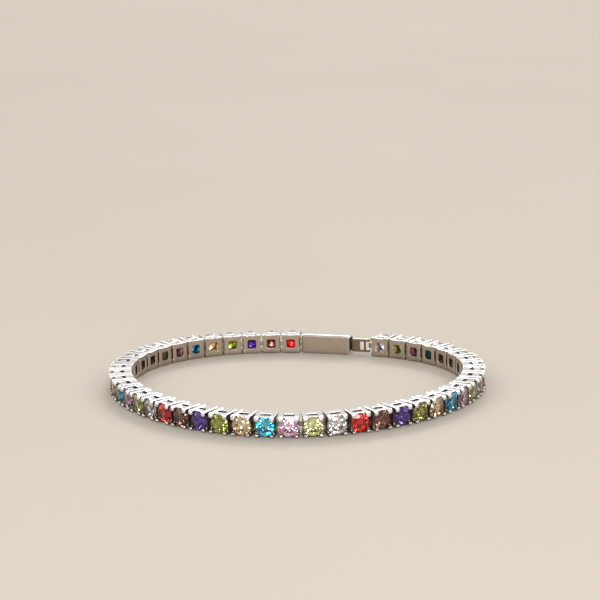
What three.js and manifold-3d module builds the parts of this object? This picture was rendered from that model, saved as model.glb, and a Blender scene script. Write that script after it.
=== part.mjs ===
// A tennis bracelet lying on its edge as a closed loop: 45 square four-claw baskets in a row, each with a round brilliant,
// closed at the back by a box clasp and its spring tongue. Units are millimetres, +Z is up, and the loop's front faces -Y.
//
// Each link is built in a local frame: x along the row (clockwise seen from above), y outwards from the wrist side, z up.
// y = 0 is the face that touches the wrist and z = 0 is the lower edge, on which the bracelet lies.
import * as THREE from "three";
import { mergeVertices } from "three/addons/utils/BufferGeometryUtils.js";
import Module from "manifold-3d";

// ---------------------------------------------------------------- driving dimensions
const LINK_COUNT = 45;
const LINKS_PER_ROW = 9; // links joined in one solid
const LINK_PITCH = 3.6;
const CLASP_SPAN = 13.2; // from the last hinge to the first one, round the clasp
const WIDTH = 3.5; // of the bracelet, which is its height when it lies on its edge
const HINGE_FROM_WRIST = 0.95; // the hinge line's depth in the link

const BASKET_LENGTH = 3.3;
const BASKET_DEPTH = 2.5; // wrist face to the top of the upper rail
const BORE = 1.8; // square opening through the basket under the stone
const RAIL_SLOT = { length: 1.7, from: 1.3, to: 1.95 }; // between the lower and the upper rail
const CLAW = { outer: 1.68, inner: 0.9, tip: 4.0 }; // a square bar at each corner, from the link's middle line
const SEAT = { reach: 2.43, to: 3.48 }; // the claws are cut back to |x| + |z| = reach below this height, for the girdle

const STONE = { radius: 1.6, culet: 1.87, girdleLow: 3.15, girdleHigh: 3.25, table: 3.7, tableRadius: 0.86, sides: 8 };

const TAB = { thick: 0.6, height: 0.9 }; // hinge tab between two links
const EYE = { inner: 0.36, outer: 0.6, reach: 1.35, sides: 8 }; // reach: from the hinge to its pin
const PIN_RADIUS = 0.18;
const TAB_WINDOW = { from: 0.3, to: 1.6, height: 1.5 };

const CLASP_BOX = { length: 8.9, depth: 3.0, corner: 0.5, bevel: 0.28, wall: 0.5, end: 0.9 };
const CLASP_GAP = 0.3; // between the box and its neighbours along the row
const TONGUE = { block: 3.3, depth: 0.9, height: 2.4, leaf: 0.35, leafHeight: 1.7, slot: 1.5 };

// The hinge line in plan is a circle with a few slow waves, scaled to the bracelet's length.
const LOOP_WAVES = [
  { lobes: 2, cosine: 0.0564, sine: -0.0315 },
  { lobes: 3, cosine: 0.0166, sine: 0.031 },
];
const FIRST_HINGE = 41.91; // along the loop from +X, anticlockwise

// The nine stone colours repeat along the row in this order.
const GEMS = [
  { name: "red", colour: 0xd21c26 },
  { name: "brown", colour: 0x6e4640 },
  { name: "purple", colour: 0x46288c },
  { name: "olive", colour: 0x82912d },
  { name: "champagne", colour: 0xd7aa78 },
  { name: "blue", colour: 0x008cbe },
  { name: "pink", colour: 0xdc8cbe },
  { name: "light_green", colour: 0xbec86e },
  { name: "white", colour: 0xe6e4ec },
];

// ---------------------------------------------------------------- solids
const wasm = await Module();
wasm.setup();

function solid(geometry) {
  const g = geometry.clone();
  g.deleteAttribute("normal");
  g.deleteAttribute("uv");
  const merged = mergeVertices(g, 1e-5);
  return new wasm.Manifold(
    new wasm.Mesh({
      numProp: 3,
      vertProperties: new Float32Array(merged.attributes.position.array),
      triVerts: new Uint32Array(merged.index.array),
    }),
  );
}

function geometryOf(made) {
  const m = made.getMesh();
  const g = new THREE.BufferGeometry();
  const points = new Float32Array(m.numVert * 3);
  for (let i = 0; i < m.numVert; i++)
    points.set(m.vertProperties.subarray(i * m.numProp, i * m.numProp + 3), i * 3);
  g.setAttribute("position", new THREE.BufferAttribute(points, 3));
  g.setIndex(new THREE.BufferAttribute(new Uint32Array(m.triVerts), 1));
  g.computeVertexNormals();
  return g;
}

const union = (pieces) => pieces.reduce((all, piece) => all.add(piece));

// A block between two corners.
function block([x0, y0, z0], [x1, y1, z1]) {
  return new THREE.BoxGeometry(x1 - x0, y1 - y0, z1 - z0).translate((x0 + x1) / 2, (y0 + y1) / 2, (z0 + z1) / 2);
}

// An upright round bar or ring about a point in plan.
function uprightPin(x, y, radius, z0, z1, sides) {
  return new THREE.CylinderGeometry(radius, radius, z1 - z0, sides).rotateX(Math.PI / 2).translate(x, y, (z0 + z1) / 2);
}
function uprightRing(x, y, inner, outer, z0, z1, sides) {
  const profile = [
    [inner, z0], [outer, z0], [outer, z1], [inner, z1], [inner, z0],
  ].map(([r, z]) => new THREE.Vector2(r, z));
  return new THREE.LatheGeometry(profile, sides).rotateX(Math.PI / 2).translate(x, y, 0);
}

// ---------------------------------------------------------------- the loop in plan
const LOOP_LENGTH = LINK_COUNT * LINK_PITCH + CLASP_SPAN;
const loop = (() => {
  const steps = 2880;
  const points = [];
  for (let i = 0; i <= steps; i++) {
    const a = (2 * Math.PI * i) / steps;
    const r = LOOP_WAVES.reduce((sum, w) => sum + w.cosine * Math.cos(w.lobes * a) + w.sine * Math.sin(w.lobes * a), 1);
    points.push(new THREE.Vector2(r * Math.cos(a), r * Math.sin(a)));
  }
  const along = [0];
  for (let i = 1; i <= steps; i++) along.push(along[i - 1] + points[i].distanceTo(points[i - 1]));
  const scale = LOOP_LENGTH / along[steps];
  return { points: points.map((p) => p.multiplyScalar(scale)), along: along.map((s) => s * scale) };
})();

function loopPoint(s) {
  const at = ((s % LOOP_LENGTH) + LOOP_LENGTH) % LOOP_LENGTH;
  let low = 0, high = loop.along.length - 1;
  while (high - low > 1) {
    const middle = (low + high) >> 1;
    if (loop.along[middle] <= at) low = middle;
    else high = middle;
  }
  const share = (at - loop.along[low]) / (loop.along[high] - loop.along[low]);
  return loop.points[low].clone().lerp(loop.points[high], share);
}

const hinges = Array.from({ length: LINK_COUNT + 1 }, (_, i) => loopPoint(FIRST_HINGE + i * LINK_PITCH));

// The local frame of the stretch between two hinges: origin on the wrist face at mid-stretch.
function frameBetween(from, to) {
  const along = to.clone().sub(from).normalize();
  const out = new THREE.Vector2(along.y, -along.x);
  const middle = from.clone().add(to).multiplyScalar(0.5).addScaledVector(out, -HINGE_FROM_WRIST);
  return {
    span: from.distanceTo(to),
    matrix: new THREE.Matrix4().makeTranslation(middle.x, middle.y, 0).multiply(new THREE.Matrix4().makeRotationZ(Math.atan2(-out.x, out.y))),
  };
}
const linkFrames = Array.from({ length: LINK_COUNT }, (_, i) => frameBetween(hinges[i], hinges[i + 1]));
const claspFrame = frameBetween(hinges[LINK_COUNT], hinges[0]);

const placed = (geometry, frame) => solid(geometry.clone().applyMatrix4(frame.matrix));

// ---------------------------------------------------------------- one link
const MID = WIDTH / 2;

function basketParts() {
  const half = BASKET_LENGTH / 2;
  const body = block([-half, 0, 0], [half, BASKET_DEPTH, WIDTH]);
  const bore = block([-BORE / 2, -1, MID - BORE / 2], [BORE / 2, BASKET_DEPTH + 1, MID + BORE / 2]);
  const slot = block([-RAIL_SLOT.length / 2, RAIL_SLOT.from, -1], [RAIL_SLOT.length / 2, RAIL_SLOT.to, WIDTH + 1]);
  const { outer, inner, tip } = CLAW, cut = SEAT.reach - inner;
  const claws = [[1, 1], [-1, 1], [-1, -1], [1, -1]].flatMap(([sx, sz]) => [
    barAlongY([[outer, outer], [inner, outer], [inner, cut], [cut, inner], [outer, inner]].map(([x, z]) => [sx * x, sz * z]), BASKET_DEPTH - 0.3, SEAT.to + 0.2),
    barAlongY([[outer, outer], [inner, outer], [inner, inner], [outer, inner]].map(([x, z]) => [sx * x, sz * z]), SEAT.to, tip),
  ]);
  return { body, bore, slot, claws };
}

// A straight bar outwards, from its outline in x and z about the link's middle.
function barAlongY(outline, y0, y1) {
  const shape = new THREE.Shape(outline.map(([x, z]) => new THREE.Vector2(x, -z)));
  return new THREE.ExtrudeGeometry(shape, { depth: y1 - y0, bevelEnabled: false }).rotateX(-Math.PI / 2).translate(0, y0, MID);
}

// A tab out of its own link's end wall at the local -x side: ahead of the hinge and behind it.
const tabOut = (hingeX, ahead, behind) =>
  block([hingeX - ahead, HINGE_FROM_WRIST - TAB.thick / 2, MID - TAB.height / 2], [hingeX + behind, HINGE_FROM_WRIST + TAB.thick / 2, MID + TAB.height / 2]);
// Its stretch past the hinge, in the frame of the neighbour that it enters from +x.
const tabIn = (hingeX, length) =>
  block([hingeX - length, HINGE_FROM_WRIST - TAB.thick / 2, MID - TAB.height / 2], [hingeX + 0.1, HINGE_FROM_WRIST + TAB.thick / 2, MID + TAB.height / 2]);

// A tab that ends in an eye round the neighbour's pin.
function eyedTab(frame) {
  const hingeX = frame.span / 2, eyeX = hingeX - EYE.reach;
  const bar = placed(tabIn(hingeX, EYE.reach - (EYE.inner + EYE.outer) / 2), frame);
  const ring = placed(uprightRing(eyeX, HINGE_FROM_WRIST, EYE.inner, EYE.outer, MID - TAB.height / 2, MID + TAB.height / 2, EYE.sides), frame);
  return bar.add(ring);
}

const basket = basketParts();
const plainLink = union([basket.body, ...basket.claws].map(solid)).subtract(solid(basket.bore)).subtract(solid(basket.slot));
// The first link of a row takes the previous row's eye: a window in its end wall, and a pin across its bore.
const receivingLink = plainLink
  .subtract(solid(block([BORE / 2 - 0.2, TAB_WINDOW.from, MID - TAB_WINDOW.height / 2], [BASKET_LENGTH, TAB_WINDOW.to, MID + TAB_WINDOW.height / 2])))
  .add(solid(uprightPin(LINK_PITCH / 2 - EYE.reach, HINGE_FROM_WRIST, PIN_RADIUS, 0.35, WIDTH - 0.35, 6)));
const plainLinkGeometry = geometryOf(plainLink);
const receivingLinkGeometry = geometryOf(receivingLink);

// ---------------------------------------------------------------- the assembly
const bracelet = new THREE.Group();
const loopGroup = new THREE.Group();
bracelet.add(loopGroup);

const metal = () => new THREE.MeshStandardMaterial({ color: 0xdcdde0, roughness: 0.12, metalness: 1.0 });
function addMesh(name, geometry, material) {
  const mesh = new THREE.Mesh(geometry, material);
  mesh.name = name;
  loopGroup.add(mesh);
  return mesh;
}

// Rows of links, soldered tab to wall inside a row and pinned from row to row.
const rowCount = LINK_COUNT / LINKS_PER_ROW;
for (let row = 0; row < rowCount; row++) {
  const pieces = [];
  for (let k = 0; k < LINKS_PER_ROW; k++) {
    const i = row * LINKS_PER_ROW + k;
    const frame = linkFrames[i];
    pieces.push(placed(k === 0 ? receivingLinkGeometry : plainLinkGeometry, frame));
    const last = k === LINKS_PER_ROW - 1;
    pieces.push(placed(tabOut(-frame.span / 2, last ? 0.1 : 0.5, 0.5), frame));
    if (last) pieces.push(eyedTab(linkFrames[i + 1] ?? claspFrame));
  }
  addMesh("setting_row_" + (row + 1), geometryOf(union(pieces)), metal());
}

// Stones: crown, girdle and pavilion of a round brilliant, table outwards.
const stoneGeometry = new THREE.LatheGeometry(
  [
    [0, STONE.culet], [STONE.radius, STONE.girdleLow], [STONE.radius, STONE.girdleHigh], [STONE.tableRadius, STONE.table], [0, STONE.table],
  ].map(([r, y]) => new THREE.Vector2(r, y)),
  STONE.sides,
).translate(0, 0, MID);
linkFrames.forEach((frame, i) => {
  const gem = GEMS[i % GEMS.length];
  const material = new THREE.MeshStandardMaterial({ color: gem.colour, roughness: 0.03, metalness: 0, transparent: true, opacity: 0.7 });
  const made = geometryOf(placed(stoneGeometry, frame));
  addMesh("stone_" + String(i + 1).padStart(2, "0") + "_" + gem.name, made, material);
});

// Box clasp: a polished box with an open mouth, whose tab enters the first link.
const boxLow = -claspFrame.span / 2 + CLASP_GAP, boxHigh = boxLow + CLASP_BOX.length;
{
  const { corner, bevel, depth, wall, end } = CLASP_BOX;
  const outline = new THREE.Shape();
  const x0 = boxLow, x1 = boxHigh, r = corner;
  outline.moveTo(x0 + r, 0).lineTo(x1 - r, 0).absarc(x1 - r, r, r, -Math.PI / 2, 0, false);
  outline.lineTo(x1, depth - r).absarc(x1 - r, depth - r, r, 0, Math.PI / 2, false);
  outline.lineTo(x0 + r, depth).absarc(x0 + r, depth - r, r, Math.PI / 2, Math.PI, false);
  outline.lineTo(x0, r).absarc(x0 + r, r, r, Math.PI, 1.5 * Math.PI, false);
  const shell = new THREE.ExtrudeGeometry(outline, {
    depth: WIDTH - 2 * bevel, curveSegments: 3, bevelEnabled: true, bevelThickness: bevel, bevelSize: bevel, bevelOffset: -bevel, bevelSegments: 2,
  }).translate(0, 0, bevel);
  const cavity = block([x0 + end, wall, wall], [x1 + 1, depth - wall, WIDTH - wall]);
  const tab = tabOut(-claspFrame.span / 2, 0.1, CLASP_GAP + 0.5);
  const made = placed(shell, claspFrame).subtract(placed(cavity, claspFrame)).add(placed(tab, claspFrame)).add(eyedTab(linkFrames[0]));
  addMesh("clasp_box", geometryOf(made), metal());
}

// Spring tongue: a flat end block with a fork for the last link's eye, and a folded leaf inside the box.
{
  const { block: length, depth, height, leaf, leafHeight, slot } = TONGUE;
  const x0 = boxHigh + CLASP_GAP, x1 = x0 + length;
  const y0 = HINGE_FROM_WRIST - depth / 2, y1 = HINGE_FROM_WRIST + depth / 2;
  const hingeX = claspFrame.span / 2, pinX = hingeX - EYE.reach;
  const body = block([x0, y0, MID - height / 2], [x1, y1, MID + height / 2]);
  const fork = block([pinX - EYE.outer - 0.3, y0 - 1, MID - slot / 2], [x1 + 1, y1 + 1, MID + slot / 2]);
  const pin = uprightPin(pinX, HINGE_FROM_WRIST, PIN_RADIUS, MID - height / 2 + 0.2, MID + height / 2 - 0.2, 6);
  const tip = boxLow + CLASP_BOX.end + 0.5, heel = boxHigh - 1.0, low = 0.85, high = CLASP_BOX.depth - CLASP_BOX.wall - 0.3;
  const fold = new THREE.Shape();
  fold.moveTo(x0 + 0.4, low).lineTo(x0 + 0.4, low + leaf).lineTo(tip + 1.0, low + leaf).lineTo(heel, high - leaf);
  fold.lineTo(heel, high).lineTo(tip, low + 1.4 * leaf).lineTo(tip, low).closePath();
  const leaves = new THREE.ExtrudeGeometry(fold, { depth: leafHeight, bevelEnabled: false }).translate(0, 0, MID - leafHeight / 2);
  const made = placed(body, claspFrame).subtract(placed(fork, claspFrame)).add(placed(pin, claspFrame)).add(placed(leaves, claspFrame));
  addMesh("clasp_tongue", geometryOf(made), metal());
}

// The frame's origin is the middle of the whole loop, on the surface that it lies on.
loopGroup.updateMatrixWorld(true);
const bounds = new THREE.Box3().setFromObject(loopGroup);
loopGroup.position.set(-(bounds.min.x + bounds.max.x) / 2, -(bounds.min.y + bounds.max.y) / 2, -bounds.min.z);

export default bracelet;
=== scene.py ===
import math

import bpy
import numpy as np
from mathutils import Matrix, Vector


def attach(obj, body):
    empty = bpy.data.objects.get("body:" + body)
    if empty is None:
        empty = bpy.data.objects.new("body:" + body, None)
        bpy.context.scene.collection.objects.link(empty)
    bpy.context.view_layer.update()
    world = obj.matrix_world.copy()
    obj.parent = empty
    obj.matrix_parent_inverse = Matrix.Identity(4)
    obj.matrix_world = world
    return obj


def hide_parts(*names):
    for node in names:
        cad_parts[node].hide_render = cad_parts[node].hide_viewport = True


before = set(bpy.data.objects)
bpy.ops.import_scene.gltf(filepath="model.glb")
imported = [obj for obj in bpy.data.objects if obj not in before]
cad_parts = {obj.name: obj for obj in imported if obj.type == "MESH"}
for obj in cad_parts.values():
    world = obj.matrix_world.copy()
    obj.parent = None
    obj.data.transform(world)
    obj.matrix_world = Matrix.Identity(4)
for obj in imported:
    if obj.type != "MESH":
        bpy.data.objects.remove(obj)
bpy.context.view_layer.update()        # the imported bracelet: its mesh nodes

MM = 0.001

# ------------------------------------------------------------------ sizes, in millimetres, as in the CAD
LINK_COUNT, LINKS_PER_ROW, LINK_PITCH, CLASP_SPAN = 45, 9, 3.6, 13.2
WIDTH, MID = 3.5, 1.75
HINGE_FROM_WRIST = 0.95
FIRST_HINGE = 41.91
LOOP_WAVES = ((2, 0.0564, -0.0315), (3, 0.0166, 0.031))      # lobes, cosine, sine
LOOP_LENGTH = LINK_COUNT * LINK_PITCH + CLASP_SPAN
STONE = dict(radius=1.6, culet=1.87, girdle_low=3.15, girdle_high=3.25, table=3.7)
CLAW_OUTER, CLAW_TIP = 1.68, 4.0
EYE_REACH = 1.35
BOX = dict(length=8.9, depth=3.0, wall=0.5, end=0.9)
GAP = 0.3

GEMS = ("red", "brown", "purple", "olive", "champagne", "blue", "pink", "light_green", "white")


# ------------------------------------------------------------------ the loop
def make_loop():
    a = np.linspace(0, 2 * np.pi, 2881)
    r = 1 + sum(c * np.cos(m * a) + s * np.sin(m * a) for m, c, s in LOOP_WAVES)
    x, y = r * np.cos(a), r * np.sin(a)
    along = np.concatenate([[0], np.cumsum(np.hypot(np.diff(x), np.diff(y)))])
    k = LOOP_LENGTH / along[-1]
    return x * k, y * k, along * k


LX, LY, LS = make_loop()


def loop_point(s):
    s = s % LOOP_LENGTH
    return np.array([np.interp(s, LS, LX), np.interp(s, LS, LY)])


hinges = [loop_point(FIRST_HINGE + i * LINK_PITCH) for i in range(LINK_COUNT + 1)]


def frame_between(p, q):
    """Local frame between two hinges: (origin on the wrist face, x axis along the row clockwise, y axis outwards, span)."""
    t = (q - p) / np.linalg.norm(q - p)
    out = np.array([t[1], -t[0]])
    origin = (p + q) / 2 - out * HINGE_FROM_WRIST
    return origin, -t, out, float(np.linalg.norm(q - p))


link_frames = [frame_between(hinges[i], hinges[i + 1]) for i in range(LINK_COUNT)]
clasp_frame = frame_between(hinges[LINK_COUNT], hinges[0])
tips = np.array([o + x * sx * CLAW_OUTER + y * CLAW_TIP for o, x, y, _ in link_frames for sx in (-1, 1)])
CENTRE = (tips.min(0) + tips.max(0)) / 2        # the CAD frame's origin is the middle of the loop's box


def to_world(points, f):
    """Points in a local frame (x along, y outwards, z from the lower edge) to the row frame, in metres."""
    o, ax, ay, _ = f
    xy = o + points[:, :1] * ax + points[:, 1:2] * ay - CENTRE
    return np.column_stack([xy, points[:, 2]]) * MM


def turn(vectors, f):
    _, ax, ay, _ = f
    return np.column_stack([vectors[:, :1] * ax + vectors[:, 1:2] * ay, vectors[:, 2]])


# ------------------------------------------------------------------ rounded solids from distance fields
def smooth_min(a, b, k):
    h = np.clip(0.5 + 0.5 * (b - a) / k, 0, 1)
    return b + (a - b) * h - k * h * (1 - h)


def smooth_max(a, b, k):
    return -smooth_min(-a, -b, k)


def round_box(p, c, half, r):
    q = np.abs(p - np.asarray(c, float)) - (np.asarray(half, float) - r)
    return np.linalg.norm(np.maximum(q, 0), axis=-1) + np.minimum(q.max(-1), 0) - r


def ball(p, c, r):
    return np.linalg.norm(p - np.asarray(c, float), axis=-1) - r


def upright_rod(p, x, y, r, z0, z1, edge=0.05):
    d = np.hypot(p[..., 0] - x, p[..., 1] - y) - r + edge
    e = np.maximum(z0 - p[..., 2], p[..., 2] - z1) + edge
    return np.hypot(np.maximum(d, 0), np.maximum(e, 0)) + np.minimum(np.maximum(d, e), 0) - edge


def stone_field(p, grow=0.0):
    """Distance to a round brilliant's outer form about the link's middle line."""
    r = np.hypot(p[..., 0], p[..., 2])
    y = p[..., 1]
    crown = ((r - 1.6) * 0.45 + (y - 3.25) * 0.69) / 0.8238
    pavilion = ((r - 1.6) * 1.28 - (y - 3.15) * 1.6) / 2.049
    return np.maximum.reduce([crown, pavilion, r - 1.6, y - 3.7]) - grow


def net(field, low, high, step):
    """A quad mesh of field = 0: one point in each cell that the surface crosses, then moved on to the surface."""
    low, high = np.asarray(low, float), np.asarray(high, float)
    n = np.ceil((high - low) / step).astype(int) + 1
    axes = [low[i] + step * np.arange(n[i]) for i in range(3)]
    grid = np.stack(np.meshgrid(*axes, indexing="ij"), -1)
    d = field(grid)
    inside = d < 0
    total = np.zeros(tuple(n - 1) + (3,))
    count = np.zeros(tuple(n - 1))
    for axis in range(3):
        a = [slice(None)] * 3
        b = [slice(None)] * 3
        a[axis], b[axis] = slice(0, -1), slice(1, None)
        d0, d1 = d[tuple(a)], d[tuple(b)]
        cross = inside[tuple(a)] != inside[tuple(b)]
        share = np.where(cross, d0 / np.where(cross, d0 - d1, 1), 0)
        point = grid[tuple(a)] + share[..., None] * (grid[tuple(b)] - grid[tuple(a)])
        others = [i for i in range(3) if i != axis]
        for s0 in (0, 1):
            for s1 in (0, 1):
                s = [slice(None)] * 3
                s[others[0]] = slice(s0, n[others[0]] - 1 + s0)
                s[others[1]] = slice(s1, n[others[1]] - 1 + s1)
                c = cross[tuple(s)]
                total += np.where(c[..., None], point[tuple(s)], 0)
                count += c
    used = count > 0
    index = np.full(count.shape, -1)
    index[used] = np.arange(used.sum())
    verts = total[used] / count[used][:, None]
    faces = []
    for axis in range(3):
        a = [slice(None)] * 3
        b = [slice(None)] * 3
        a[axis], b[axis] = slice(0, -1), slice(1, None)
        u, v = (axis + 1) % 3, (axis + 2) % 3
        s = [slice(None)] * 3
        s[u], s[v] = slice(1, n[u] - 1), slice(1, n[v] - 1)
        first, second = inside[tuple(a)][tuple(s)], inside[tuple(b)][tuple(s)]
        for flip, mask in ((False, first & ~second), (True, ~first & second)):
            at = np.argwhere(mask)
            if not len(at):
                continue
            at[:, u] += 1
            at[:, v] += 1
            corners = []
            for du, dv in ((-1, -1), (0, -1), (0, 0), (-1, 0)):
                c = at.copy()
                c[:, u] += du
                c[:, v] += dv
                corners.append(index[c[:, 0], c[:, 1], c[:, 2]])
            quad = np.column_stack(corners)
            faces.append(quad[:, ::-1] if flip else quad)
    faces = np.vstack(faces)
    verts = settle(field, verts, 4)
    return verts, faces


def slope(field, p, e=0.01):
    g = np.empty_like(p)
    for i in range(3):
        d = np.zeros(3)
        d[i] = e
        g[:, i] = (field(p + d) - field(p - d)) / (2 * e)
    return g


def settle(field, p, times):
    for _ in range(times):
        g = slope(field, p)
        p = p - g * (np.clip(field(p), -0.05, 0.05) / np.maximum((g * g).sum(1), 0.2))[:, None]
    return p


def solid_from(field, low, high, step, keep):
    """The surface of a field as triangles, thinned to the share keep, with the field's own normals."""
    verts, quads = net(field, low, high, step)
    mesh = bpy.data.meshes.new("working")
    mesh.from_pydata(verts.tolist(), [], quads.tolist())
    holder = bpy.data.objects.new("working", mesh)
    bpy.context.scene.collection.objects.link(holder)
    thin = holder.modifiers.new("thin", "DECIMATE")
    thin.ratio = keep
    done = bpy.data.meshes.new_from_object(holder.evaluated_get(bpy.context.evaluated_depsgraph_get()))
    v = np.empty(len(done.vertices) * 3)
    done.vertices.foreach_get("co", v)
    v = settle(field, v.reshape(-1, 3), 2)
    done.calc_loop_triangles()
    t = np.empty(len(done.loop_triangles) * 3, dtype=int)
    done.loop_triangles.foreach_get("vertices", t)
    bpy.data.objects.remove(holder)
    bpy.data.meshes.remove(mesh)
    bpy.data.meshes.remove(done)
    g = slope(field, v)
    return v, t.reshape(-1, 3), g / np.maximum(np.linalg.norm(g, axis=1), 1e-9)[:, None]


class Parts:
    """Arrays of one piece: points, triangles, normals and openness, gathered from several placed solids."""

    def __init__(self):
        self.v, self.t, self.n, self.o, self.s, self.count = [], [], [], [], [], 0

    def add(self, solid, f, satin_to=0.35):
        v, t, n, o = solid
        self.v.append(to_world(v, f))
        self.n.append(turn(n, f))
        self.t.append(t + self.count)
        self.o.append(o)
        # wrist faces, facing inwards: a real satin finish (rougher), and a colour multiplied brown as a painted
        # reflection of shaded ground
        self.s.append(np.clip((-n[:, 1] - 0.55) / 0.4, 0, 1) * np.clip((satin_to - v[:, 1]) / 0.2, 0, 1))
        self.count += len(v)

    def make(self, name, material, node):
        v, t, n = np.vstack(self.v), np.vstack(self.t), np.vstack(self.n)
        mesh = bpy.data.meshes.new(name)
        mesh.from_pydata(v.tolist(), [], t.tolist())
        mesh.polygons.foreach_set("use_smooth", np.ones(len(t), dtype=bool))
        mesh.attributes.new("open", "FLOAT", "POINT").data.foreach_set("value", np.concatenate(self.o))
        mesh.attributes.new("satin_and_painted_reflection", "FLOAT", "POINT").data.foreach_set("value", np.concatenate(self.s))
        mesh.normals_split_custom_set_from_vertices(n.tolist())
        mesh.materials.append(material)
        o = bpy.data.objects.new(name, mesh)
        bpy.context.scene.collection.objects.link(o)
        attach(o, "root")
        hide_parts(node)
        return o


# ------------------------------------------------------------------ one link
def link_field(p):
    q = np.stack([np.abs(p[..., 0]), p[..., 1], np.abs(p[..., 2] - MID)], -1)
    x, y, z = q[..., 0], q[..., 1], q[..., 2]
    # wrist rail, a square frame open at its back
    lower = round_box(q, (0, 0.66, 0), (1.5, 0.66, 1.64), 0.09)
    lower = smooth_max(lower, -round_box(q, (0, 0.6, 0), (0.78, 1.5, 0.8), 0.36), 0.06)
    # collar under the stone, a step lower, with a round seat
    upper = round_box(q, (0, 2.47, 0), (1.5, 0.53, 1.54), 0.08)
    upper = smooth_max(upper, 1.15 - np.hypot(x, z), 0.06)
    rails = np.minimum(lower, upper)
    # claws: bars the whole depth of the link, with rounded tips that lean over the stone
    # the lower claws reach less far over the stone
    above = p[..., 2] > MID
    bar = round_box(q, (1.24, 1.85, 1.35), (0.40, 1.85, 0.39), 0.12)
    bar = smooth_max(bar, y - np.where(above, 3.7, 3.2), 0.1)
    tip = np.where(above, round_box(q, (1.25, 3.41, 1.30), (0.41, 0.58, 0.42), 0.34), round_box(q, (1.24, 3.41, 1.41), (0.34, 0.56, 0.28), 0.25))
    claw = smooth_min(bar, tip, 0.06)
    d = smooth_min(rails, claw, 0.05)
    return smooth_max(d, -stone_field(np.stack([x, y, z], -1), 0.012), 0.02)


def tab_field(p):
    # the middle is the hinge
    return round_box(p, (0, HINGE_FROM_WRIST, MID), (0.62, 0.3, 0.45), 0.12)


def neighbourhood(p):
    """A link with its stone, its two tabs and the neighbouring links."""
    near = np.where(p[..., 0:1] > 0, (LINK_PITCH, 0, 0), (-LINK_PITCH, 0, 0))
    tab_at = near / 2
    own = np.minimum(link_field(p), stone_field(p - (0, 0, MID)))
    other = p - near
    return np.minimum.reduce([own, link_field(other), stone_field(other - (0, 0, MID)), tab_field(p - tab_at)])


def openness(field, points, normals, reach=2.6, rays=40, steps=15):
    """Share of the sky over each point that nothing in the field hides within reach; the metal's colour is darkened
    where it is low, as painted shade.
    """
    k = np.arange(rays) + 0.5
    up = np.sqrt(1 - k / rays)
    around = k * 2.399963
    side = np.sqrt(1 - up * up)
    local = np.column_stack([side * np.cos(around), side * np.sin(around), up])
    helper = np.where(np.abs(normals[:, :1]) < 0.7, (1.0, 0, 0), (0, 1.0, 0))
    u = np.cross(normals, helper)
    u /= np.linalg.norm(u, axis=1)[:, None]
    w = np.cross(normals, u)
    clear = np.ones((len(points), rays), dtype=bool)
    for j in range(rays):
        way = local[j, 0] * u + local[j, 1] * w + local[j, 2] * normals
        for s in np.linspace(0.1, reach, steps):
            clear[:, j] &= field(points + normals * 0.03 + way * s) > 0
    return clear.mean(1)


link_solid = solid_from(link_field, (-1.85, -0.15, -0.15), (1.85, 4.15, 3.65), 0.1, 0.3)
shade = 1 - 0.42 * np.clip((1.5 - link_solid[0][:, 2]) / 1.2, 0, 1)       # painted shade: towards the underside, near the floor, the colour is darker and the metal rougher
# painted shade: the link's openness among its stone, tabs and neighbouring links darkens its colour in recesses and
# between parts
link = link_solid + (openness(neighbourhood, link_solid[0], link_solid[2]) * shade,)
tab_solid = solid_from(tab_field, (-0.8, 0.5, 1.1), (0.8, 1.4, 2.3), 0.09, 0.5)
# painted shade: the tab's openness between its two links darkens its colour
tab = tab_solid + (openness(lambda p: np.minimum(tab_field(p), np.minimum(link_field(p - (1.8, 0, 0)), link_field(p + (1.8, 0, 0)))), tab_solid[0], tab_solid[2]),)


def hinge_frame(i):
    """At hinge i, with its axes half-way between the two neighbours'."""
    a = link_frames[i - 1] if i > 0 else clasp_frame
    b = link_frames[i] if i < LINK_COUNT else clasp_frame
    ax = a[1] + b[1]
    ax = ax / np.linalg.norm(ax)
    ay = np.array([-ax[1], ax[0]])
    return hinges[i] - ay * HINGE_FROM_WRIST, ax, ay, 0.0


# ------------------------------------------------------------------ materials
def nodes_of(name):
    m = bpy.data.materials.new(name)
    m.use_nodes = True
    nt = m.node_tree
    nt.nodes.clear()
    out = nt.nodes.new("ShaderNodeOutputMaterial")
    shader = nt.nodes.new("ShaderNodeBsdfPrincipled")
    nt.links.new(shader.outputs[0], out.inputs[0])
    return m, nt, shader


def noise(nt, scale, detail=3.0, rough=0.5):
    at = nt.nodes.new("ShaderNodeTexCoord")
    n = nt.nodes.new("ShaderNodeTexNoise")
    n.inputs["Scale"].default_value = scale
    n.inputs["Detail"].default_value = detail
    n.inputs["Roughness"].default_value = rough
    nt.links.new(at.outputs["Object"], n.inputs["Vector"])
    return n


def ramp(nt, source, stops):
    r = nt.nodes.new("ShaderNodeValToRGB")
    while len(r.color_ramp.elements) < len(stops):
        r.color_ramp.elements.new(0.5)
    for e, (at, colour) in zip(r.color_ramp.elements, stops):
        e.position = at
        e.color = (*colour, 1)
    nt.links.new(source, r.inputs[0])
    return r.outputs[0]


def spread(nt, source, low, high):
    m = nt.nodes.new("ShaderNodeMapRange")
    m.inputs["To Min"].default_value = low
    m.inputs["To Max"].default_value = high
    nt.links.new(source, m.inputs["Value"])
    return m.outputs[0]


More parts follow.
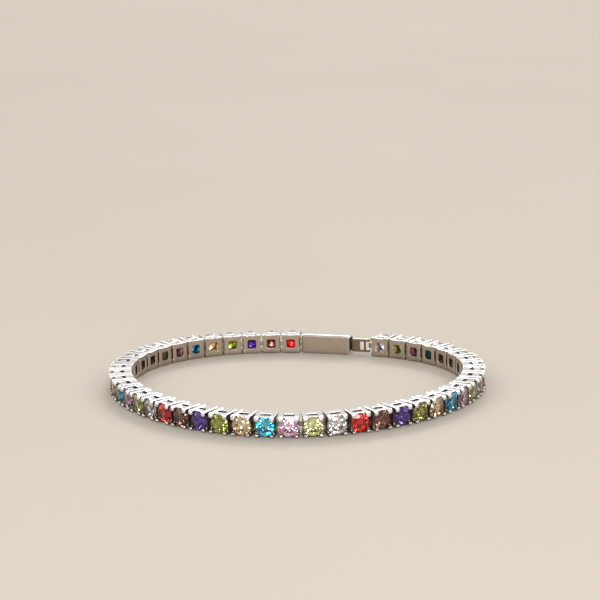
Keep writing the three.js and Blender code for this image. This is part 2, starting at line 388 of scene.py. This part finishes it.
def polished(name, low, high, tint, painted_shade_colour, satin_and_painted_reflection):
    """Bright metal with painted shade: its colour darkens and it roughens where the mesh's openness is low, in
    recesses, between parts and on the underside. Its wrist faces are satin and rougher, with a brown tint that is a
    painted reflection of shaded ground.
    """
    m, nt, s = nodes_of(name)
    s.inputs["Metallic"].default_value = 1.0
    cloud = noise(nt, 260.0, 4.0)
    fine = noise(nt, 1400.0, 3.0)

    def attribute(which):
        node = nt.nodes.new("ShaderNodeAttribute")
        node.attribute_name = which
        return node.outputs["Fac"]

    def multiply_add(value, by, plus):
        node = nt.nodes.new("ShaderNodeMath")
        node.operation = "MULTIPLY_ADD"
        for i, x in enumerate((value, by, plus)):
            if isinstance(x, (int, float)):
                node.inputs[i].default_value = x
            else:
                nt.links.new(x, node.inputs[i])
        return node.outputs[0]

    # painted shade: openness plus a little cloud noise for random tone, mapped from the shade colour through a warm mid
    # to the bright tint
    clear = multiply_add(cloud.outputs["Fac"], 0.14, attribute("open"))
    mid = (0.46, 0.40, 0.335)
    colour = ramp(nt, clear, ((0.22, painted_shade_colour), (0.52, mid), (0.74, tuple(c * 0.90 for c in tint)), (0.92, tint)))
    # wrist faces: colour multiplied by the brown satin colour, a painted reflection of shaded ground; the rougher satin
    # finish is real
    mix = nt.nodes.new("ShaderNodeMix")
    mix.data_type = "RGBA"
    mix.blend_type = "MULTIPLY"
    nt.links.new(attribute("satin_and_painted_reflection"), mix.inputs[0])
    nt.links.new(colour, mix.inputs[6])
    nt.links.new(ramp(nt, fine.outputs["Fac"], ((0.3, tuple(c * 0.92 for c in satin_and_painted_reflection)), (0.7, satin_and_painted_reflection))), mix.inputs[7])
    nt.links.new(mix.outputs[2], s.inputs["Base Color"])
    worn = spread(nt, clear, 0.40, low)
    dull = multiply_add(attribute("satin_and_painted_reflection"), 0.26, worn)
    nt.links.new(multiply_add(fine.outputs["Fac"], high - low, dull), s.inputs["Roughness"])
    bump = nt.nodes.new("ShaderNodeBump")
    bump.inputs["Strength"].default_value = 0.05
    bump.inputs["Distance"].default_value = 0.00002
    nt.links.new(cloud.outputs["Fac"], bump.inputs["Height"])
    nt.links.new(bump.outputs[0], s.inputs["Normal"])
    return m


# the fourth colour is the painted shade for recesses and the underside; the fifth is the wrist faces' colour, darkened
# brown as a painted reflection of shaded ground
SETTING = polished("setting_silver", 0.05, 0.11, (0.94, 0.94, 0.95), (0.28, 0.235, 0.19), (0.58, 0.48, 0.38))
CLASP = polished("clasp_silver", 0.07, 0.14, (0.86, 0.86, 0.87), (0.12, 0.095, 0.072), (0.60, 0.50, 0.40))

# each stone's own colour (main), with a painted shade (deep) and a painted highlight (light) of it for its painted
# facet reflections
TONES = {
    "red": ((0.15, 0.0, 0.0), (0.72, 0.006, 0.010), (1.0, 0.11, 0.07)),
    "brown": ((0.030, 0.010, 0.008), (0.11, 0.038, 0.033), (0.44, 0.20, 0.16)),
    "purple": ((0.006, 0.002, 0.05), (0.050, 0.015, 0.19), (0.30, 0.16, 0.74)),
    "olive": ((0.05, 0.065, 0.0), (0.29, 0.30, 0.035), (0.74, 0.78, 0.22)),
    "champagne": ((0.34, 0.14, 0.045), (0.98, 0.60, 0.27), (1.0, 0.91, 0.68)),
    "blue": ((0.0, 0.07, 0.28), (0.01, 0.50, 1.0), (0.36, 0.90, 1.0)),
    "pink": ((0.50, 0.06, 0.28), (1.0, 0.43, 0.76), (1.0, 0.86, 0.98)),
    "light_green": ((0.26, 0.28, 0.04), (0.82, 0.86, 0.27), (1.0, 1.0, 0.76)),
    "white": ((0.36, 0.34, 0.42), (0.93, 0.92, 0.98), (1.0, 1.0, 1.0)),
}


def gem(name):
    deep, main, light = TONES[name]
    m, nt, s = nodes_of("stone_" + name)
    s.inputs["Roughness"].default_value = 0.0
    s.inputs["IOR"].default_value = 2.0
    s.inputs["Specular Tint"].default_value = (*[0.40 + 0.60 * c for c in light], 1)
    s.inputs["Transmission Weight"].default_value = 1.0
    # each facet's painted light share, lighter or darker facet by facet
    facet = nt.nodes.new("ShaderNodeAttribute")
    facet.attribute_name = "facet"
    # painted reflections: a fine mosaic of light and deep cells, standing in for the many reflections inside a stone,
    # mixed with each facet's painted light share
    at = nt.nodes.new("ShaderNodeTexCoord")
    cells = nt.nodes.new("ShaderNodeTexVoronoi")
    cells.inputs["Scale"].default_value = 2600.0
    nt.links.new(at.outputs["Object"], cells.inputs["Vector"])
    grain = nt.nodes.new("ShaderNodeSeparateColor")
    nt.links.new(cells.outputs["Color"], grain.inputs[0])
    mix = nt.nodes.new("ShaderNodeMix")
    mix.inputs[0].default_value = 0.45
    nt.links.new(facet.outputs["Fac"], mix.inputs[2])
    nt.links.new(grain.outputs[0], mix.inputs[3])
    nt.links.new(ramp(nt, mix.outputs[0], ((0.12, deep), (0.42, main), (0.80, light))), s.inputs["Base Color"])
    return m


# ------------------------------------------------------------------ stones
def brilliant():
    """A 57-facet round brilliant in the link's frame: points, faces and each face's share of painted light, a painted
    reflection lighter or darker facet by facet.
    """
    R = STONE["radius"]
    top, low = STONE["girdle_high"], STONE["girdle_low"]
    crown, pavilion = STONE["table"] - top, low - STONE["culet"]
    points, faces, tone = [], [], []

    def point(r, degrees, y):
        a = math.radians(degrees)
        points.append((r * math.cos(a), y, MID + r * math.sin(a)))
        return len(points) - 1

    table_r, star_r, half_r = 0.57 * R, 0.79 * R, 0.26 * R
    c = math.cos(math.radians(22.5))
    star_y = top + crown * (1 - star_r * c / R) / (1 - table_r / R)
    half_y = low - pavilion * (1 - half_r * c / R)
    T = [point(table_r, 45 * k, STONE["table"]) for k in range(8)]
    S = [point(star_r, 45 * k + 22.5, star_y) for k in range(8)]
    G = [point(R, 22.5 * k, top) for k in range(16)]
    L = [point(R, 22.5 * k, low) for k in range(16)]
    H = [point(half_r, 45 * k + 22.5, half_y) for k in range(8)]
    C = point(0, 0, STONE["culet"])

    def face(ids, share):
        faces.append(ids)
        tone.append(share)

    # painted light share of each facet: table mid, crown facets lighter and darker in turn, pavilion facets dark,
    # girdle mid
    face(T[::-1], 0.62)
    for k in range(8):
        n, p = (k + 1) % 8, (k - 1) % 8
        g, m, gn = G[2 * k], G[2 * k + 1], G[(2 * k + 2) % 16]
        face([T[k], T[n], S[k]], 0.8 if k % 2 else 0.45)
        face([T[k], S[k], g, S[p]], 0.35 if k % 2 else 0.6)
        face([S[k], m, g], 0.25 if k % 2 else 0.7)
        face([S[k], gn, m], 0.75 if k % 2 else 0.3)
        l, lm, ln = L[2 * k], L[2 * k + 1], L[(2 * k + 2) % 16]
        face([C, H[p], l, H[k]], 0.3 if k % 2 else 0.1)
        face([H[k], l, lm], 0.05)
        face([H[k], lm, ln], 0.25)
    for k in range(16):
        n = (k + 1) % 16
        face([G[k], G[n], L[n], L[k]], 0.4)
    v = np.array(points)
    # every face looks away from the stone's middle
    middle = np.array([0, (top + low) / 2, MID])
    turned = []
    for f in faces:
        a, b, d = v[f[0]], v[f[1]], v[f[2]]
        out = np.dot(np.cross(b - a, d - a), v[f].mean(0) - middle) > 0
        turned.append(f if out else f[::-1])
    return v, turned, tone


STONE_V, STONE_F, STONE_PAINTED_GLINT = brilliant()


def make_stone(i, material):
    name = "gem_%02d_%s" % (i + 1, GEMS[i % 9])
    node = "stone_%02d_%s" % (i + 1, GEMS[i % 9])
    # each stone sits turned a little differently about its axis
    a = math.radians((i * 137.5) % 45)
    v = STONE_V - (0, 0, MID)
    v = np.column_stack([v[:, 0] * math.cos(a) - v[:, 2] * math.sin(a), v[:, 1], v[:, 0] * math.sin(a) + v[:, 2] * math.cos(a) + MID])
    mesh = bpy.data.meshes.new(name)
    mesh.from_pydata(to_world(v, link_frames[i]).tolist(), [], STONE_F)
    rng = np.random.default_rng(100 + i)
    # each facet's painted light share, with a little random spread
    attribute = mesh.attributes.new("facet", "FLOAT", "FACE")
    attribute.data.foreach_set("value", np.clip(np.array(STONE_PAINTED_GLINT) + rng.uniform(-0.12, 0.12, len(STONE_PAINTED_GLINT)), 0, 1))
    mesh.materials.append(material)
    o = bpy.data.objects.new(name, mesh)
    bpy.context.scene.collection.objects.link(o)
    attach(o, "root")
    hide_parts(node)


gems = {name: gem(name) for name in GEMS}
for i in range(LINK_COUNT):
    make_stone(i, gems[GEMS[i % 9]])

# ------------------------------------------------------------------ rows
for row in range(LINK_COUNT // LINKS_PER_ROW):
    parts = Parts()
    for k in range(LINKS_PER_ROW):
        i = row * LINKS_PER_ROW + k
        parts.add(link, link_frames[i])
        parts.add(tab, hinge_frame(i + 1))
    parts.make("settings_%d" % (row + 1), SETTING, "setting_row_%d" % (row + 1))

# ------------------------------------------------------------------ clasp
span = clasp_frame[3]
box_low = -span / 2 + GAP
box_high = box_low + BOX["length"]


def box_field(p):
    depth, wall = BOX["depth"], BOX["wall"]
    body = round_box(p, ((box_low + box_high) / 2, depth / 2, MID), (BOX["length"] / 2, depth / 2, MID), 0.42)
    x0, x1 = box_low + BOX["end"], box_high + 1
    hollow = round_box(p, ((x0 + x1) / 2, depth / 2, MID), ((x1 - x0) / 2, depth / 2 - wall, MID - wall), 0.15)
    return smooth_max(body, -hollow, 0.08)


def tongue_field(p):
    x0 = box_high + GAP
    x1 = x0 + 3.3
    pin_x = span / 2 - EYE_REACH
    body = round_box(p, ((x0 + x1) / 2, HINGE_FROM_WRIST, MID), (1.65, 0.44, 1.2), 0.2)
    fork = round_box(p, ((pin_x - 0.9 + x1 + 2) / 2, HINGE_FROM_WRIST, MID), ((x1 + 2 - pin_x + 0.9) / 2, 3.0, 0.75), 0.12)
    body = smooth_max(body, -fork, 0.06)
    pin = upright_rod(p, pin_x, HINGE_FROM_WRIST, 0.18, MID - 1.1, MID + 1.1)
    leaf = round_box(p, ((box_low + 1.4 + x0 + 0.6) / 2, 1.025, MID), ((x0 + 0.6 - box_low - 1.4) / 2, 0.175, 0.85), 0.08)
    a = math.atan2(1.0, 5.2)
    u = p - np.array([box_low + 1.5, 1.05, MID])
    turned = np.stack([u[..., 0] * math.cos(a) + u[..., 1] * math.sin(a), -u[..., 0] * math.sin(a) + u[..., 1] * math.cos(a), u[..., 2]], -1)
    spring = round_box(turned, (2.7, 0.06, 0), (2.75, 0.15, 0.85), 0.08)
    return np.minimum(smooth_min(body, smooth_min(leaf, spring, 0.05), 0.06), pin)


def clasp_all(p):
    first_link = p - (span / 2 + LINK_PITCH / 2, 0, 0)
    return np.minimum.reduce([box_field(p), tongue_field(p), link_field(first_link)])


box_solid = solid_from(box_field, (box_low - 0.2, -0.2, -0.2), (box_high + 0.2, 3.2, 3.6), 0.11, 0.3)
tongue_solid = solid_from(tongue_field, (box_low + 1.0, -0.2, 0.1), (box_high + 4.0, 2.9, 3.3), 0.09, 0.3)
parts = Parts()
# painted shade: the box's openness among the tongue and the first link darkens its colour in its recesses
parts.add(box_solid + (openness(clasp_all, box_solid[0], box_solid[2]),), clasp_frame)
parts.add(tab, hinge_frame(0))
parts.make("clasp_box_shell", CLASP, "clasp_box")
parts = Parts()
# painted shade: the tongue's openness is cut to 0.42, so its colour is darker than its recess alone gives, and the
# wrist-face satin with its painted brown reflection reaches further out on its faces
parts.add(tongue_solid + (0.42 * openness(clasp_all, tongue_solid[0], tongue_solid[2]),), clasp_frame, satin_to=1.2)
parts.make("clasp_spring_tongue", CLASP, "clasp_tongue")

# ------------------------------------------------------------------ floor, light and camera
mesh = bpy.data.meshes.new("floor")
mesh.from_pydata([(-6, -6, 0), (6, -6, 0), (6, 6, 0), (-6, 6, 0)], [], [(0, 1, 2, 3)])
floor = bpy.data.objects.new("floor", mesh)
bpy.context.scene.collection.objects.link(floor)
m, nt, s = nodes_of("pale_floor")
s.inputs["Roughness"].default_value = 0.8
s.inputs["Specular IOR Level"].default_value = 0.15
nt.links.new(ramp(nt, noise(nt, 6.0, 2.0).outputs["Fac"], ((0.3, (0.535, 0.483, 0.418)), (0.7, (0.555, 0.503, 0.438)))), s.inputs["Base Color"])
mesh.materials.append(m)

world = bpy.data.worlds.new("studio")
bpy.context.scene.world = world
world.use_nodes = True
wt = world.node_tree
background = next(n for n in wt.nodes if n.type == "BACKGROUND")
# light from all round by direction: bright and low behind, dim in front, soft overhead, pale at the horizon
direction = wt.nodes.new("ShaderNodeTexCoord")
split = wt.nodes.new("ShaderNodeSeparateXYZ")
wt.links.new(direction.outputs["Generated"], split.inputs[0])


def sky(stops):
    return ramp(wt, split.outputs["Z"], [(z, tuple(v * c / SKY for c in tint)) for z, v, tint in stops])


SKY = 4.0
PALE, WARM, PLAIN = (0.93, 0.86, 0.78), (1.0, 0.97, 0.93), (0.97, 0.98, 1.0)
behind = sky(((0.0, 0.70, PALE), (0.10, 0.72, PALE), (0.20, 0.66, WARM), (0.27, 0.72, WARM), (0.36, 0.94, WARM), (0.50, 2.8, WARM), (0.62, 2.6, WARM), (0.80, 0.8, PLAIN), (1.0, 0.6, PLAIN)))
before = sky(((0.0, 0.66, PALE), (0.05, 0.50, PALE), (0.12, 0.34, PALE), (0.30, 0.38, WARM), (0.50, 0.34, WARM), (0.74, 0.50, WARM), (1.0, 0.6, PLAIN)))
side = wt.nodes.new("ShaderNodeMapRange")
side.interpolation_type = "SMOOTHSTEP"
side.inputs["From Min"].default_value = -0.75
side.inputs["From Max"].default_value = 0.75
wt.links.new(split.outputs["Y"], side.inputs["Value"])
both = wt.nodes.new("ShaderNodeMix")
both.data_type = "RGBA"
wt.links.new(side.outputs[0], both.inputs[0])
wt.links.new(before, both.inputs[6])
wt.links.new(behind, both.inputs[7])
wt.links.new(both.outputs[2], background.inputs["Color"])
background.inputs["Strength"].default_value = SKY
bpy.context.scene.view_settings.view_transform = "Standard"


def softbox(name, at, size, radiance, colour=(1, 1, 1)):
    """An area light aimed at the bracelet, as bright as the given radiance."""
    light = bpy.data.lights.new(name, "AREA")
    light.shape = "RECTANGLE"
    light.size, light.size_y = size
    light.energy = radiance * math.pi * size[0] * size[1]
    light.color = colour
    o = bpy.data.objects.new(name, light)
    o.location = at
    o.rotation_mode = "QUATERNION"
    o.rotation_quaternion = (-Vector(at)).to_track_quat("-Z", "Y")
    o.visible_camera = False
    bpy.context.scene.collection.objects.link(o)


softbox("key_behind", (0.30, 2.20, 1.35), (0.9, 0.5), 12.0, (1.0, 0.98, 0.95))
softbox("left", (-0.70, -0.40, 0.34), (0.16, 0.26), 1.9)
softbox("right", (0.74, -0.36, 0.30), (0.14, 0.26), 1.8, (1.0, 0.97, 0.94))
softbox("front_high", (0.06, -0.58, 0.60), (0.24, 0.10), 12.0)
softbox("front_strip_left", (-0.20, -0.76, 0.24), (0.06, 0.30), 12.0)
softbox("front_strip_right", (0.24, -0.74, 0.18), (0.06, 0.24), 12.0)
# small bright spots, for the stones' sparkle
for k, (x, y, z, radiance) in enumerate(((-0.03, -0.80, 0.40, 22), (0.12, -0.78, 0.34, 18), (-0.34, -0.62, 0.44, 18), (0.42, -0.60, 0.40, 18), (0.02, -0.86, 0.16, 14), (-0.10, -0.52, 0.72, 16), (0.30, -0.42, 0.66, 16))):
    softbox("spot_%d" % (k + 1), (x, y, z), (0.07, 0.05), radiance)

# the camera that fits the photograph's view: 15.45 degrees down, rolled 1.3 degrees, 429 mm away
ELEVATION, ROLL, DISTANCE, FOCAL_PX = math.radians(15.45), math.radians(1.31), 429.4, 2506.0
CENTRE_PX = (295.2, 389.0)      # where the loop's middle falls in a 600 x 600 frame
forward = Vector((0, math.cos(ELEVATION), -math.sin(ELEVATION)))
right0, up0 = Vector((1, 0, 0)), Vector((0, math.sin(ELEVATION), math.cos(ELEVATION)))
right = math.cos(ROLL) * right0 - math.sin(ROLL) * up0
up = math.sin(ROLL) * right0 + math.cos(ROLL) * up0
look = (forward - right * ((CENTRE_PX[0] - 300) / FOCAL_PX) + up * ((CENTRE_PX[1] - 300) / FOCAL_PX)).normalized()
right = (right - look * right.dot(look)).normalized()
up = right.cross(look)
camera = bpy.data.cameras.new("camera")
camera.sensor_width = 36.0
camera.lens = FOCAL_PX / 600 * 36.0
camera.clip_start, camera.clip_end = 0.01, 50.0
holder = bpy.data.objects.new("camera", camera)
place = Vector((-CENTRE[0] * MM, -CENTRE[1] * MM, 0)) - forward * DISTANCE * MM
rows = [[right[i], up[i], -look[i], place[i]] for i in range(3)] + [[0, 0, 0, 1]]
holder.matrix_world = Matrix(rows)
bpy.context.scene.collection.objects.link(holder)
bpy.context.scene.camera = holder
